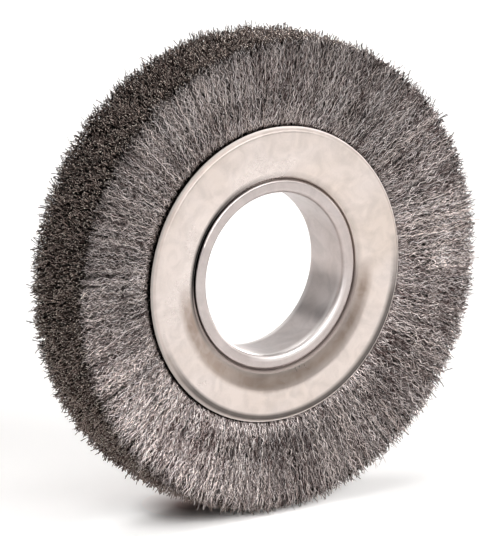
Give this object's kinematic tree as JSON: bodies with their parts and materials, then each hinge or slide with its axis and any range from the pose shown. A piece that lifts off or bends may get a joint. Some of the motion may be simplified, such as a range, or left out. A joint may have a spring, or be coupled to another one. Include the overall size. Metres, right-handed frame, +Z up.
{
  "type": "wire wheel brush",
  "caption": "Wide wheel of crimped steel wire clamped between two pressed side plates on a flared bore sleeve, for a bench grinder arbor.",
  "frame": {"origin": "centre of the arbor hole, half way between the two faces of the wheel", "axes": "+Y along the wheel's axis, from its front face to its rear face; +Z up as the wheel stands on its tread; +X to the right seen from the front"},
  "size_m": [0.1521, 0.03, 0.1507],
  "materials": {
    "sleeve_steel": "bright drawn steel, lightly marked",
    "plate_steel": "bright cold-rolled sheet with a soft sheen",
    "crimped_wire": "dark oil-tempered wire, crimped",
    "keeper_steel": "plain drawn steel"
  },
  "bodies": {
    "root": {"bore_sleeve": "sleeve_steel", "front_side_plate": "plate_steel", "rear_side_plate": "plate_steel", "front_wire_row": "crimped_wire", "middle_wire_row": "crimped_wire", "rear_wire_row": "crimped_wire", "front_keeper_ring": "keeper_steel", "middle_keeper_ring": "keeper_steel", "rear_keeper_ring": "keeper_steel"}
  },
  "joints": []
}
